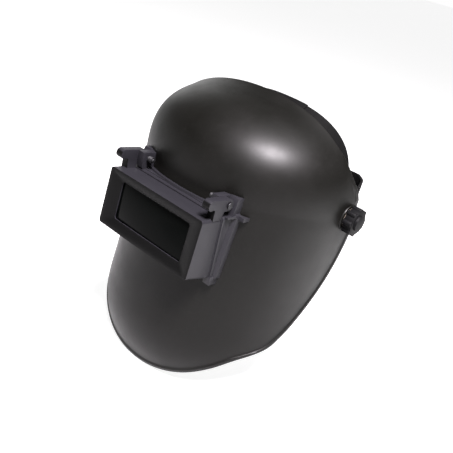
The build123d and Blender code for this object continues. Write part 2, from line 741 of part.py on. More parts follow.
def nape_pad():
    return band_frame() * arc_plate((67.5, 74.0), (58, 122), (STRAP_MIDDLE_Z - 14, STRAP_MIDDLE_Z + 14))


def crown_frame():
    return Location((0, RIVET_Y, RIVET_Z), (CROWN_STRAP_LEAN, 0, 0))


def crown_arch(out):
    """The crown strap's outline as a filled arch, seen from the front, moved out by out."""
    half = CROWN_STRAP_HALF_SPAN + out
    rise = CROWN_STRAP_RISE + out
    power = 2 / CROWN_STRAP_POWER
    points = []
    for i in range(33):
        angle = math.pi * i / 32
        across = math.copysign(abs(math.cos(angle)) ** power, math.cos(angle))
        points.append((half * across, CROWN_STRAP_BASE + rise * math.sin(angle) ** power))
    top = Spline(*points, tangents=((0, 1), (0, -1)))
    legs = Polyline(points[-1], (-half, CROWN_STRAP_FOOT), (half, CROWN_STRAP_FOOT), points[0])
    return make_face(top + legs)


def crown_strap(side):
    """Half of the over-the-head strap; the right half laps over the left and has the pegs."""
    lap = 0.0 if side == LEFT else CROWN_STRAP_THICKNESS + CROWN_LAP_GAP
    sheet = crown_arch(lap) - crown_arch(lap - CROWN_STRAP_THICKNESS)
    half_width = CROWN_STRAP_WIDTH / 2
    body = Plane.XZ.offset(half_width) * extrude(sheet, -CROWN_STRAP_WIDTH)
    reach = (-CROWN_OVERLAP, 200) if side == LEFT else (-200, CROWN_OVERLAP)
    body = body & block(reach, (-50, 50), (-50, 150))
    top = CROWN_STRAP_BASE + CROWN_STRAP_RISE
    if side == LEFT:
        for i in range(4):
            x = CROWN_HOLE_PITCH * (i - 1.5)
            body = body - Pos(x, 0, top) * Cylinder(CROWN_HOLE_RADIUS, 20)
    else:
        for x in (-CROWN_HOLE_PITCH / 2, CROWN_HOLE_PITCH / 2):
            body = body + Pos(x, 0, top - 0.9) * Cylinder(CROWN_PEG_RADIUS, CROWN_PEG_LENGTH)
    return crown_frame() * (body - side_of(disc(RIVET_RADIUS, (60, 100)), side))


def side_arm(side):
    """Carries the ear pivot out from the headband: a plate round the bolt that curves inwards."""
    middle = (ARM_X[0] + ARM_X[1]) / 2
    bend = Spline((middle, 14), (113.6, 28.2), (104.5, 37.3), (92.5, 42), (85.2, 48), tangents=((0, 1), (0, 1)))
    line = Line((middle, -20), (middle, 14)) + bend + Line((85.2, 48), (85.2, 62))
    path = trace(line, ARM_X[1] - ARM_X[0])
    arm = Pos(0, 0, -30) * extrude(path, 100)
    shape = side_plate(
        [(-6, -17), (6, -17), (16, -9), (24, 0), (40, 3), (61, 3), (61, 26), (40, 35), (24, 33),
         (4, 17), (-6, 17), (-16, 8), (-18, 0), (-16, -8)],
        (60, 130),
    )
    arm = arm & shape
    for y, z in ((26, 9), (26, 22), (36, 20)):
        arm = arm - Pos(0, y, z) * disc(2.6, (80, 130))
    arm = arm - disc(BOLT_RADIUS, (100, 130))
    arm = arm - Pos(0, RIVET_Y, RIVET_Z) * disc(RIVET_RADIUS, (60, 100))
    return side_of(arm, side)


def arm_rivet(side):
    rivet = disc(RIVET_RADIUS, (75.4, 87.6)) + disc(4.0, (87.4, 88.6)) + disc(3.6, (74.2, 75.6))
    return side_of(Pos(0, RIVET_Y, RIVET_Z) * rivet, side)


def build_shell_group():
    outer = form(0.0)
    inner = form(-WALL)
    save("shell", shell(outer, inner))
    save("lens_base_frame", base_frame(form(FIT_GAP)))
    save("inner_retaining_frame", retaining_frame(form(-WALL - FIT_GAP)))
    save("frame_screws", *[frame_screw(x, z) for x, z in screw_places()])
    save("safety_lens", plate_in(split_frame(), 2.4, 2.0))
    save("safety_lens_clips", *[plate_clip(side) for side in (LEFT, RIGHT)])
    save("hinge_pins", *[hinge_pin(side) for side in (LEFT, RIGHT)])
    save("hinge_springs", *[hinge_spring(side) for side in (LEFT, RIGHT)])


def build_lift_front():
    save("lift_front", lift_front())
    save("cover_lens", plate_in(lift_frame(), PLATE_SEAT + 0.05, 1.5))
    save("lens_gasket", plate_in(lift_frame(), PLATE_SEAT + 1.6, 1.5, (98, 42)))
    save("shade_filter", plate_in(lift_frame(), PLATE_SEAT + 3.2, 3.2))
    save("lens_retaining_spring", retaining_spring())


def build_headgear():
    save("front_headband", front_headband())
    save("sweatband", sweatband())
    save("strap_peg_caps", *[peg_cap(side) for side in (LEFT, RIGHT)])
    save("nape_pad", nape_pad())
    save("ratchet_back_plate", ratchet_plate())
    save("ratchet_cover", ratchet_cover())
    save("housing_screws", *[housing_screw(angle) for angle in HOUSING_SCREW_ANGLES])
    save("ratchet_pinion", pinion())
    save("ratchet_knob", ratchet_knob())
    for side, word in ((LEFT, "left"), (RIGHT, "right")):
        save(f"crown_strap_{word}", crown_strap(side))
        save(f"side_arm_{word}", side_arm(side))
        save(f"rear_strap_{word}", rear_strap(side))
        save(f"tension_knob_{word}", tension_knob(side))
        save(f"knob_nut_{word}", knob_nut(side))
    save("arm_rivets", *[arm_rivet(side) for side in (LEFT, RIGHT)])
    save("pivot_bolts", *[pivot_bolt(side) for side in (LEFT, RIGHT)])
    save("stop_plates", *[stop_plate(side) for side in (LEFT, RIGHT)])
    save("inner_washers", *[washer(11.0, INNER_WASHER_X, side) for side in (LEFT, RIGHT)])
    save("outer_washers", *[washer(12.0, OUTER_WASHER_X, side) for side in (LEFT, RIGHT)])


if __name__ == "__main__":
    os.makedirs("parts", exist_ok=True)
    build_shell_group()
    build_lift_front()
    build_headgear()
    print(len(written), "nodes")
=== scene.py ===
"""The looks of the welding helmet: finished meshes, materials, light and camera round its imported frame."""

import math

import bmesh
import bpy
import numpy as np
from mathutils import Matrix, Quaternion, Vector
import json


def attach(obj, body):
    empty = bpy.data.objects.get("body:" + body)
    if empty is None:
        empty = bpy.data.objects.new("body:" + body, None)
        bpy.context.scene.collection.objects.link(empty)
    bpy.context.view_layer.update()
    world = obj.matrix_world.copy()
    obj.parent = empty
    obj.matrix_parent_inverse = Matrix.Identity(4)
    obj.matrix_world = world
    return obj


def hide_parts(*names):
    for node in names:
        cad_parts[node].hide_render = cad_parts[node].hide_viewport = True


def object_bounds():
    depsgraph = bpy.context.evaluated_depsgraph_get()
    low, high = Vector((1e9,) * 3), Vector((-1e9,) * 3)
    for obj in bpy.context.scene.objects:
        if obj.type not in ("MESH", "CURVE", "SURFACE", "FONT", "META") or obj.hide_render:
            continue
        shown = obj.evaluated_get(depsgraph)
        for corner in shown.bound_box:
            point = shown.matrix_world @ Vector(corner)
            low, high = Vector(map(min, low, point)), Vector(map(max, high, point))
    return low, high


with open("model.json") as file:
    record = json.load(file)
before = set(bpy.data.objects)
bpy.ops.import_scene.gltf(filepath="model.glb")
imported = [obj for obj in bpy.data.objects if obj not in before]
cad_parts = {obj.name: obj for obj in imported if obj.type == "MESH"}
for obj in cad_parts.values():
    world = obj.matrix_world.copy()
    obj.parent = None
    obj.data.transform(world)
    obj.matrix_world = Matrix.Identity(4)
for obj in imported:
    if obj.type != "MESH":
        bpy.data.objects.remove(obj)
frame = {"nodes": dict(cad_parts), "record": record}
cad_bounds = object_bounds()
SLOT_OF = {part["node"]: part["material_slot"] for part in frame["record"]["subparts"]}
BODY_OF = {node: body for body, nodes in frame["record"]["behaviour"]["bodies"].items() for node in nodes}

# Everything is in metres: +X to the wearer's left, +Y backwards, +Z up, origin between the ear pivots.

# Camera
CAMERA_PLACE = (0.392, -0.5829, 0.2228)
CAMERA_TARGET = (0.0643, -0.1163, -0.0208)
CAMERA_ROLL = 16.0  # degrees
CAMERA_LENS = 51.66  # for a 36 mm sensor

# Stage
FLOOR_REACH = 60.0
FLOOR_DROP = 0.0005
FLOOR_GREYS = ((0.34, 0.34, 0.34), (0.36, 0.36, 0.36))
HORIZON_BAND = (0.08, 0.22)  # the surroundings are white up to the first height and dark above the second
HORIZON_GLOW = (1.0, 0.07)
DARK_PLACE = (0.05, -0.82)  # the floor is kept darker in front, where the face would mirror it
DARK_GLOW = (0.05, 0.88)
DARK_SPAN = (0.42, 0.5)
PATCH_PLACE = (0.62, 0.16)  # a brighter patch of floor on the helmet's left, reflected in its cheek
PATCH_GLOW = (6.4, 0.0)
PATCH_SPAN = (0.1, 0.5)  # metres from its middle
WHITE = (1.0, 1.0, 1.0)
# Each light's name, place, the place it points at, size, power, colour and shape
LIGHTS = [
    ("key", (0.474, -0.480, 1.0), (0.07, -0.087, 0.055), 0.4, 132, (1.0, 0.94, 0.985), "DISK"),
    ("overhead", (0.1, 0.35, 1.9), (0.0, 0.0, 0.0), 1.2, 12, WHITE, "SQUARE"),
    ("rear_left", (-1.3, 0.7, 0.5), (0.0, -0.05, -0.05), 0.7, 3, WHITE, "SQUARE"),
]

# Colours, as linear RGB
SHELL_SHADES = ((0.0010, 0.0010, 0.0007), (0.0018, 0.0017, 0.0014))
DUST = (0.006, 0.0057, 0.0053)
FRAME_GREY = (0.0066, 0.0064, 0.0079)
# Painted shade: the lift front's forward-looking faces are drawn blacker and less glossy than its lit sides
FRONT_SHADE_BLACK = (0.0014, 0.0014, 0.0014)
FRONT_SHADE_GLOSS = 0.06
FRONT_SHADE_FACING = (0.74, 0.84)  # how squarely a face has to look forward to start and to end the painted shade
KNOB_BLACK = (0.0018, 0.0018, 0.002)
STRAP_BLACK = (0.0022, 0.0022, 0.0022)
RUBBER_BLACK = (0.008, 0.008, 0.008)
FIBRE_BROWN = (0.045, 0.035, 0.026)
CLOTH_BLACK = (0.010, 0.010, 0.0115)
PLATE_BLACK = (0.0006, 0.0008, 0.0007)
SHADE_GREEN = (0.0012, 0.002, 0.0014)
ZINC = (0.3, 0.3, 0.3)
SPRING_BLACK = (0.035, 0.035, 0.037)
BRASS = (0.62, 0.44, 0.2)

# Edge rounds
SHARP_ANGLE = 32.0  # degrees; edges sharper than this are rounded
FINE_ROUND = 0.0003
FRAME_ROUND = 0.0006

# Shell surface
HALF_WIDTH = 0.1265
CROWN_Z = 0.088
CHIN_Z = -0.211
FRONT_DEPTH = 0.1255
BACK_DEPTH = 0.106
CENTRE_Y = 0.0044
CENTRE_SHIFT_UP = -0.0041
CENTRE_SHIFT_DOWN = -0.0219
SIDE_TAPER = 0.05
FRONT_SWELL = 0.04
TAPER_POWER = 1.5
CURL_START = 0.69
CURL = 0.16
CURL_POWER = 2.2
DOME_POWER = 2.7
FRONT_POWER = 2.1
WALL = 0.0025
# The rear edge seen from the side: height and how far back
REAR_EDGE = [
    (0.120, -0.020), (0.088, -0.020), (0.070, -0.020), (0.045, -0.009), (0.020, 0.007), (0.0, 0.014),
    (-0.030, 0.013), (-0.070, 0.0), (-0.110, -0.024), (-0.140, -0.047), (-0.150, -0.057),
    (-0.165, -0.087), (-0.180, -0.103), (-0.196, -0.116), (-0.211, -0.1275), (-0.221, -0.1335),
]
BEAD_WIDTH = 0.0045
BEAD_HEIGHT = 0.0016
BEAD_TOP_Z = 0.040
BEAD_EDGE = (-0.0012, 0.0008)  # where the bead falls away, measured from its width
BEAD_FADE = (-0.012, 0.004)  # and where it ends, measured from its top
LIP_START_Y = -0.048
LIP_END_Y = -0.018
LIP_RISE = 0.007
LIP_POWER = 2.7
LIP_SIDE_Z = 0.025
OPENING = (0.116, 0.056)
OPENING_CORNER = 0.004
SPLIT_PLACE = (0.0, -0.1271, -0.043)
SPLIT_LEAN = math.radians(4.0)
SPLIT_AHEAD = np.array([0, -math.cos(SPLIT_LEAN), -math.sin(SPLIT_LEAN)])
SPLIT_UP = np.array([0, -math.sin(SPLIT_LEAN), math.cos(SPLIT_LEAN)])
LIFT_LEAN = math.radians(-3.0)  # of the lift front's mouth

# Shell mesh: columns fan out from the opening, round an axis that starts this far behind it
COLUMNS = 360
AXIS_BEHIND = 0.1
LEAN_RANGE = (math.radians(3), math.radians(125))
LEAN_SAMPLES = 700
FORM_REACH = 0.4  # longer than any ray inside the form
HALVINGS = 34
SHELL_MIDDLE = np.array([0, -0.02, -0.05])
# Rows of points by their distance from the rear edge: close together on the bead, then evenly spread
NEAR_ROWS = np.array([0, 0.5, 1.1, 1.8, 2.6, 3.4, 4.2, 5, 6.2, 8, 10.5, 13.5, 17, 21, 25.5, 30.5]) * 0.001
FAR_ROWS = 45
RIM_STEPS = 6
RIM_BULGE = 0.7

# Hinge springs: where the hinge axis runs, as (y, z), and the coil on it
HINGE_PLACE = (-0.122687, 0.002816)
SPRING_X = 0.042
SPRING_TURNS = 4
SPRING_PITCH = 0.00125
SPRING_RADIUS = 0.0029
SPRING_WIRE = 0.0006
SPRING_STEPS = 40  # per turn
SPRING_RING = 10

# Pads on the headband
BAND_TILT = -8.0
PAD_CENTRE_Y = 0.034
PAD_VOXEL = 0.0022
PAD_SHRINK = 0.0012
PAD_PRESSURE = 4.0
PAD_CAP = 0.0013
PAD_FRAMES = 20
SWEATBAND_SEAMS = (0.0055, 0.0305)  # heights up the headband
NAPE_PAD_SEAMS = (0.0025, 0.0235)
SEAM_DEPTH = 0.0007
SEAM_WIDTH = 0.0014
SEAM_CATCH = 0.0009
STITCH_LENGTH = 0.0026
STITCH_THICKNESS = 0.0007
STITCH_SPACING = 0.0042
STITCH_BREAK = 0.02  # a wider gap than this is not bridged by a stitch

# Ear pivots, stations along X
BOSS_X = (0.121, 0.127)
BOSS_RADIUS = 0.015
BOSS_ROOT = 0.001
BOSS_ROUND = 0.0006
BOSS_CLEAR = (0.0015, 0.006)  # the bead fades out between these distances from a boss


# ---------------------------------------------------------------- small helpers


def new_object(name, points, faces, smooth_angle=35.0):
    mesh = bpy.data.meshes.new(name)
    mesh.from_pydata([tuple(p) for p in points], [], [tuple(f) for f in faces])
    return finish_mesh(name, mesh, smooth_angle)


def finish_mesh(name, mesh, smooth_angle=35.0):
    """Puts a mesh in the scene, facing outwards and shaded smooth up to an angle."""
    tidy = bmesh.new()
    tidy.from_mesh(mesh)
    bmesh.ops.recalc_face_normals(tidy, faces=tidy.faces)
    tidy.to_mesh(mesh)
    tidy.free()
    mesh.polygons.foreach_set("use_smooth", [True] * len(mesh.polygons))
    mesh.set_sharp_from_angle(angle=math.radians(smooth_angle))
    mesh.update()
    thing = bpy.data.objects.new(name, mesh)
    bpy.context.scene.collection.objects.link(thing)
    return thing


def dress(thing, node, look):
    """Makes a finished piece stand for its CAD node, with that node's body and the given look's material."""
    thing.data.materials.clear()
    thing.data.materials.append(look.material)
    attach(thing, BODY_OF[node])
    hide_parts(node)
    return thing


def refined(node, look, bevel=FINE_ROUND, segments=2):
    """A CAD node's shape with its sharp edges rounded off and the rounds marked as worn."""
    source = frame["nodes"][node].data
    work = bmesh.new()
    work.from_mesh(source)
    bmesh.ops.remove_doubles(work, verts=work.verts, dist=1e-6)
    bmesh.ops.dissolve_degenerate(work, edges=work.edges, dist=1e-6)
    bmesh.ops.dissolve_limit(
        work, angle_limit=math.radians(0.6), verts=work.verts, edges=work.edges, delimit={"NORMAL"}
    )
    wear = work.faces.layers.float.new("wear")
    limit = math.radians(SHARP_ANGLE)
    sharp = [e for e in work.edges if e.is_manifold and e.calc_face_angle(0.0) > limit]
    made = bmesh.ops.bevel(
        work, geom=sharp, offset=bevel, offset_type="OFFSET", segments=segments, profile=0.5,
        affect="EDGES", clamp_overlap=True, miter_outer="SHARP",
    )
    for face in made["faces"]:
        face[wear] = 1.0
    bmesh.ops.triangulate(work, faces=[f for f in work.faces if len(f.verts) > 4])
    mesh = bpy.data.meshes.new(node + "_piece")
    work.to_mesh(mesh)
    work.free()
    return dress(finish_mesh(node + "_piece", mesh), node, look)


# ---------------------------------------------------------------- materials


class Look:
    """A procedural material, built one node at a time."""

    def __init__(self, name):
        self.material = bpy.data.materials.new(name)
        self.material.use_nodes = True
        self.tree = self.material.node_tree
        self.shader = self.tree.nodes["Principled BSDF"]
        self.place = self.add("ShaderNodeTexCoord").outputs["Object"]

    def add(self, kind, **values):
        node = self.tree.nodes.new(kind)
        for key, value in values.items():
            setattr(node, key, value)
        return node

    def link(self, output, target):
        self.tree.links.new(output, target)

    def set(self, **values):
        for key, value in values.items():
            self.shader.inputs[key.replace("_", " ")].default_value = value

    def noise(self, scale, detail=3.0, roughness=0.5, stretch=None):
        place = self.place
        if stretch:
            mapping = self.add("ShaderNodeMapping")
            mapping.inputs["Scale"].default_value = stretch
            self.link(place, mapping.inputs["Vector"])
            place = mapping.outputs["Vector"]
        node = self.add("ShaderNodeTexNoise")
        node.inputs["Scale"].default_value = scale
        node.inputs["Detail"].default_value = detail
        node.inputs["Roughness"].default_value = roughness
        self.link(place, node.inputs["Vector"])
        return node.outputs["Fac"]

    def spread(self, value, low, high, from_low=0.3, from_high=0.7):
        node = self.add("ShaderNodeMapRange")
        node.inputs["From Min"].default_value = from_low
        node.inputs["From Max"].default_value = from_high
        node.inputs["To Min"].default_value = low
        node.inputs["To Max"].default_value = high
        self.link(value, node.inputs["Value"])
        return node.outputs["Result"]

    def product(self, a, b):
        node = self.add("ShaderNodeMath", operation="MULTIPLY")
        self.link(a, node.inputs[0])
        self.link(b, node.inputs[1])
        return node.outputs[0]

    def mix(self, share, first, second):
        """A colour between two; each is a colour or the output of another mix."""
        node = self.add("ShaderNodeMix", data_type="RGBA")
        self.link(share, node.inputs[0])
        for socket, value in ((node.inputs[6], first), (node.inputs[7], second)):
            if isinstance(value, tuple):
                socket.default_value = (*value, 1.0)
            else:
                self.link(value, socket)
        return node.outputs[2]

    def bumps(self, *layers):
        """Bump layers, each (height, depth in metres), laid over one another."""
        normal = None
        for height, depth in layers:
            node = self.add("ShaderNodeBump")
            node.inputs["Strength"].default_value = 1.0
            node.inputs["Distance"].default_value = depth
            self.link(height, node.inputs["Height"])
            if normal is not None:
                self.link(normal, node.inputs["Normal"])
            normal = node.outputs["Normal"]
        self.link(normal, self.shader.inputs["Normal"])

    def worn(self):
        """How worn a point is: the marked edge rounds, broken up by fine noise."""
        mark = self.add("ShaderNodeAttribute", attribute_name="wear")
        return self.product(mark.outputs["Fac"], self.spread(self.noise(260, 4), 0.0, 1.0, 0.35, 0.65))


def shade_of(colour, factor):
    return tuple(min(c * factor, 1.0) for c in colour)


def darken_front(look):
    """Blackens and dulls the faces that look forward: painted shade, as little light falls on the lens
    holder's mouth.
    """
    facing = look.add("ShaderNodeVectorMath", operation="DOT_PRODUCT")
    facing.inputs[1].default_value = (0, -math.cos(LIFT_LEAN), -math.sin(LIFT_LEAN))
    look.link(look.add("ShaderNodeNewGeometry").outputs["True Normal"], facing.inputs[0])
    front = look.spread(facing.outputs["Value"], 0.0, 1.0, *FRONT_SHADE_FACING)
    colour, gloss = look.shader.inputs["Base Color"], look.shader.inputs["Specular IOR Level"]
    # painted shade: forward faces blacker and less glossy
    look.link(look.mix(front, colour.links[0].from_socket, FRONT_SHADE_BLACK), colour)
    look.link(look.spread(front, gloss.default_value, FRONT_SHADE_GLOSS, 0.0, 1.0), gloss)
    return look


def moulded(name, colour, roughness, grain=900, grain_depth=0.00002, mottle=0.25, spec=0.5, worn_factor=2.2):
    """Moulded plastic, rubber or fibre: a fine grain, slight mottling and lighter edges where it is worn."""
    look = Look(name)
    cloud = look.spread(look.noise(22, 3), 0.0, 1.0)
    body = look.mix(cloud, shade_of(colour, 1 - mottle), shade_of(colour, 1 + mottle))
    edge = look.worn()
    look.link(look.mix(edge, body, shade_of(colour, worn_factor)), look.shader.inputs["Base Color"])
    rough = look.spread(look.noise(60, 4), roughness - 0.02, roughness + 0.02)
    look.link(rough, look.shader.inputs["Roughness"])
    look.set(Specular_IOR_Level=spec)
    look.bumps((look.noise(grain, 2, 0.6), grain_depth))
    return look


def frame_plastic(name):
    """The lens holder's dark grey nylon."""
    return moulded(name, FRAME_GREY, 0.46, grain=1300, mottle=0.05, spec=0.15, worn_factor=2.4)


def shell_look():
    """Satin black thermoplastic: a soft broad sheen under a thin brighter skin."""
    look = Look("shell_plastic")
    cloud = look.spread(look.noise(14, 4, 0.6), 0.0, 1.0)
    body = look.mix(cloud, *SHELL_SHADES)
    dust = look.spread(look.noise(420, 3, 0.7), 0.0, 0.35, 0.56, 0.75)
    look.link(look.mix(dust, body, DUST), look.shader.inputs["Base Color"])
    look.link(look.spread(look.noise(45, 4, 0.6), 0.42, 0.5), look.shader.inputs["Roughness"])
    look.set(Specular_IOR_Level=0.11, Coat_Weight=0.06, Coat_Roughness=0.32, Coat_IOR=1.4)
    look.bumps((look.noise(1100, 2, 0.6), 0.000012), (look.noise(170, 3, 0.55), 0.00003))
    return look


def glass_look(name, colour, roughness):
    """A polished plate, drawn opaque and near black so that only its reflections show."""
    look = Look(name)
    smear = look.spread(look.noise(35, 4), roughness, roughness + 0.06)
    look.link(smear, look.shader.inputs["Roughness"])
    cloud = look.spread(look.noise(9, 2), 0.0, 1.0)
    look.link(look.mix(cloud, colour, shade_of(colour, 0.85)), look.shader.inputs["Base Color"])
    look.set(IOR=1.5, Specular_IOR_Level=0.02)
    look.bumps((look.noise(20, 2), 0.000004))
    return look


def metal_look(name, colour, roughness):
    """Drawn or turned metal, streaked along X and brighter on its worn edges."""
    look = Look(name)
    streak = look.noise(1.0, 3, 0.6, (40, 900, 900))
    tint = look.mix(look.spread(streak, 0.0, 1.0), shade_of(colour, 0.75), shade_of(colour, 1.15))
    look.link(look.mix(look.worn(), tint, shade_of(colour, 1.5)), look.shader.inputs["Base Color"])
    rough = look.spread(look.noise(120, 3), roughness - 0.08, roughness + 0.1)
    look.link(rough, look.shader.inputs["Roughness"])
    look.set(Metallic=1.0)
    look.bumps((streak, 0.00001))
    return look


def strap_look():
    """Flexible polyethylene with a coarse pebbled texture."""
    return moulded("strap_plastic", STRAP_BLACK, 0.75, grain=420, grain_depth=0.0001, mottle=0.3, spec=0.03)


def cloth_look(name, colour):
    """Brushed cloth: a fine weave, a fuzzy sheen and soft colour variation."""
    look = Look(name)
    weft = look.add("ShaderNodeTexWave", wave_type="BANDS", bands_direction="Z")
    weft.inputs["Scale"].default_value = 350
    weft.inputs["Distortion"].default_value = 2.0
    weft.inputs["Detail"].default_value = 2.0
    look.link(look.place, weft.inputs["Vector"])
    cloud = look.spread(look.noise(60, 4), 0.0, 1.0)
    body = look.mix(cloud, shade_of(colour, 0.75), shade_of(colour, 1.3))
    lint = look.spread(look.noise(900, 3, 0.7), 0.0, 0.5, 0.55, 0.8)
    look.link(look.mix(lint, body, shade_of(colour, 2.4)), look.shader.inputs["Base Color"])
    look.set(Roughness=0.95, Sheen_Weight=0.08, Sheen_Roughness=0.5, Specular_IOR_Level=0.1)
    look.bumps((weft.outputs["Fac"], 0.0001), (look.noise(700, 3, 0.7), 0.00025))
    return look


# ---------------------------------------------------------------- shell


def section_sizes(z):
    """Half-width, front depth, back depth and centre of the level sections at heights z."""
    up = np.clip(z / CROWN_Z, 0, 0.99999)
    dome = (1 - up**DOME_POWER) ** (1 / DOME_POWER)
    down = np.maximum(z / CHIN_Z, 0)
    curl_share = np.maximum((down - CURL_START) / (1 - CURL_START), 0)
    curl = 1 - CURL * curl_share**CURL_POWER
    half = HALF_WIDTH * (1 - SIDE_TAPER * down**TAPER_POWER) * curl * dome
    front = FRONT_DEPTH * (1 + FRONT_SWELL * down**TAPER_POWER) * curl * dome
    centre = CENTRE_Y + CENTRE_SHIFT_UP * np.maximum(z, 0) / CROWN_Z + CENTRE_SHIFT_DOWN * down
    return half, front, BACK_DEPTH * dome, centre


def inside_form(points):
    x, y, z = points[..., 0], points[..., 1], points[..., 2]
    half, front, back, centre = section_sizes(z)
    depth = y - centre
    ahead = (np.abs(x) / half) ** FRONT_POWER + (np.abs(depth) / front) ** FRONT_POWER
    behind = (x / half) ** 2 + (depth / back) ** 2
    return (np.where(depth < 0, ahead, behind) < 1) & (z < CROWN_Z)


def on_form(origin, directions):
    """Where rays from inside the form meet its surface."""
    low = np.zeros(directions.shape[:-1])
    high = np.full(directions.shape[:-1], FORM_REACH)
    for _ in range(HALVINGS):
        reach = (low + high) / 2
        inside = inside_form(origin + directions * reach[..., None])
        low = np.where(inside, reach, low)
        high = np.where(inside, high, reach)
    return origin + directions * ((low + high) / 2)[..., None]


def rear_edge_y(z):
    """How far back the rear edge is at height z, as a smooth curve through its points."""
    heights = np.array([p[0] for p in REAR_EDGE][::-1])
    depths = np.array([p[1] for p in REAR_EDGE][::-1])
    slopes = np.gradient(depths, heights)
    z = np.clip(z, heights[0], heights[-1])
    i = np.clip(np.searchsorted(heights, z) - 1, 0, len(heights) - 2)
    step = heights[i + 1] - heights[i]
    t = (z - heights[i]) / step
    return (
        (2 * t**3 - 3 * t**2 + 1) * depths[i] + (t**3 - 2 * t**2 + t) * step * slopes[i]
        + (3 * t**2 - 2 * t**3) * depths[i + 1] + (t**3 - t**2) * step * slopes[i + 1]
    )


def smooth(value, low, high):
    share = np.clip((value - low) / (high - low), 0, 1)
    return share * share * (3 - 2 * share)


def in_opening(points):
    """Whether points lie within the lens opening, seen along the split frame's depth."""
    up = (points - np.array(SPLIT_PLACE)) @ SPLIT_UP
    over_x = np.maximum(np.abs(points[..., 0]) - (OPENING[0] / 2 - OPENING_CORNER), 0)
    over_z = np.maximum(np.abs(up) - (OPENING[1] / 2 - OPENING_CORNER), 0)
    return np.hypot(over_x, over_z) < OPENING_CORNER


def column_directions(turn, lean_angle):
    """Directions about the axis through the opening: turn round it, lean away from straight ahead."""
    side = np.array([1.0, 0, 0])
    across = np.cos(turn)[..., None] * side + np.sin(turn)[..., None] * SPLIT_UP
    return np.cos(lean_angle)[..., None] * SPLIT_AHEAD + np.sin(lean_angle)[..., None] * across


def shell_rows():
    """The shell's outer surface as columns from the rear edge in to the opening, with edge distances."""
    centre = np.array(SPLIT_PLACE) - AXIS_BEHIND * SPLIT_AHEAD
    turns = 2 * math.pi * np.arange(COLUMNS) / COLUMNS
    fine = np.linspace(*LEAN_RANGE, LEAN_SAMPLES)
    turn_grid, lean_grid = np.meshgrid(turns, fine, indexing="ij")
    points = on_form(centre, column_directions(turn_grid, lean_grid))
    ahead_of_edge = points[..., 1] < rear_edge_y(points[..., 2])
    opening = in_opening(points)
    rows = []
    for i in range(COLUMNS):
        start = np.argmax(~opening[i])
        end = start + np.argmax(~ahead_of_edge[i][start:])
        gap = rear_edge_y(points[i, end - 1:end + 1, 2]) - points[i, end - 1:end + 1, 1]
        last = fine[end - 1] + (fine[end] - fine[end - 1]) * gap[0] / (gap[0] - gap[1])
        angles = np.append(fine[start:end], last)
        edge = on_form(centre, column_directions(turns[i:i + 1], np.array([last])))
        line = np.vstack([points[i, start:end], edge])
        walked = np.concatenate([[0], np.cumsum(np.linalg.norm(np.diff(line, axis=0), axis=1))])
        length = walked[-1]
        far = np.linspace(NEAR_ROWS[-1], length, FAR_ROWS + 1)[1:]
        distances = np.concatenate([NEAR_ROWS, far])
        rows.append((np.interp(length - distances, walked, angles), distances))
    leans = np.array([r[0] for r in rows])
    distances = np.array([r[1] for r in rows])
    turn_grid = np.repeat(turns[:, None], leans.shape[1], axis=1)
    return on_form(centre, column_directions(turn_grid, leans)), distances


def grid_normals(points, outward_from):
    around = np.roll(points, -1, axis=0) - np.roll(points, 1, axis=0)
    along = np.gradient(points, axis=1)
    normals = np.cross(around, along)
    normals /= np.linalg.norm(normals, axis=2, keepdims=True)
    flip = np.sum(normals * (points - outward_from), axis=2, keepdims=True) < 0
    return np.where(flip, -normals, normals)


def raise_lip(points):
    """The crown's turned-up rear edge."""
    x, y, z = points[..., 0], points[..., 1], points[..., 2]
    share = np.clip((y - LIP_START_Y) / (LIP_END_Y - LIP_START_Y), 0, 1)
    reach = np.hypot(x, z - LIP_SIDE_Z)
    fade = np.clip((z - LIP_SIDE_Z) / reach, 0, 1)
    rise = LIP_RISE * share**LIP_POWER * fade
    out = np.stack([x / reach, np.zeros_like(x), (z - LIP_SIDE_Z) / reach], axis=2)
    return points + out * rise[..., None]


def shell_mesh():
    """The shell as one closed sheet: its outside with the edge bead, a rounded rim and its inside."""
    base, distances = shell_rows()
    base = raise_lip(base)
    normals = grid_normals(base, SHELL_MIDDLE)
    bead = BEAD_HEIGHT * (1 - smooth(distances - BEAD_WIDTH, *BEAD_EDGE))
    bead *= 1 - smooth(base[..., 2] - BEAD_TOP_Z, *BEAD_FADE)
    from_pivot = np.hypot(base[..., 1], base[..., 2])
    bead *= smooth(from_pivot - BOSS_RADIUS, *BOSS_CLEAR)
    outer = base + normals * bead[..., None]
    inner = base - normals * WALL
    outwards = outer[:, 0] - outer[:, 1]
    outwards /= np.linalg.norm(outwards, axis=1, keepdims=True)
    rim_middle = (outer[:, 0] + inner[:, 0]) / 2
    rim_half = (outer[:, 0] - inner[:, 0]) / 2
    bulge = np.linalg.norm(rim_half, axis=1, keepdims=True) * RIM_BULGE
    rim = []
    for k in range(1, RIM_STEPS):
        turn = math.pi * k / RIM_STEPS
        rim.append(rim_middle + rim_half * math.cos(turn) + outwards * bulge * math.sin(turn))
    ring = np.concatenate([outer[:, ::-1], np.stack(rim, axis=1), inner], axis=1)
    rows = ring.shape[1]
    points = ring.reshape(-1, 3)
    faces = []
    for i in range(COLUMNS):
        j = (i + 1) % COLUMNS
        for k in range(rows):
            n = (k + 1) % rows
            faces.append((i * rows + k, j * rows + k, j * rows + n, i * rows + n))
    return new_object("shell_piece", points, faces, 50)


def lathe(profile, steps=64):
    """A closed body of revolution about X, from (x, radius) points that start and end on the axis."""
    points, faces = [], []
    inner = profile[1:-1]
    for x, radius in inner:
        for i in range(steps):
            turn = 2 * math.pi * i / steps
            points.append((x, radius * math.cos(turn), radius * math.sin(turn)))
    first, last = len(points), len(points) + 1
    points += [(profile[0][0], 0, 0), (profile[-1][0], 0, 0)]
    for k in range(len(inner) - 1):
        for i in range(steps):
            j = (i + 1) % steps
            faces.append((k * steps + i, k * steps + j, (k + 1) * steps + j, (k + 1) * steps + i))
    end = (len(inner) - 1) * steps
    for i in range(steps):
        j = (i + 1) % steps
        faces.append((first, j, i))
        faces.append((last, end + i, end + j))
    return points, faces


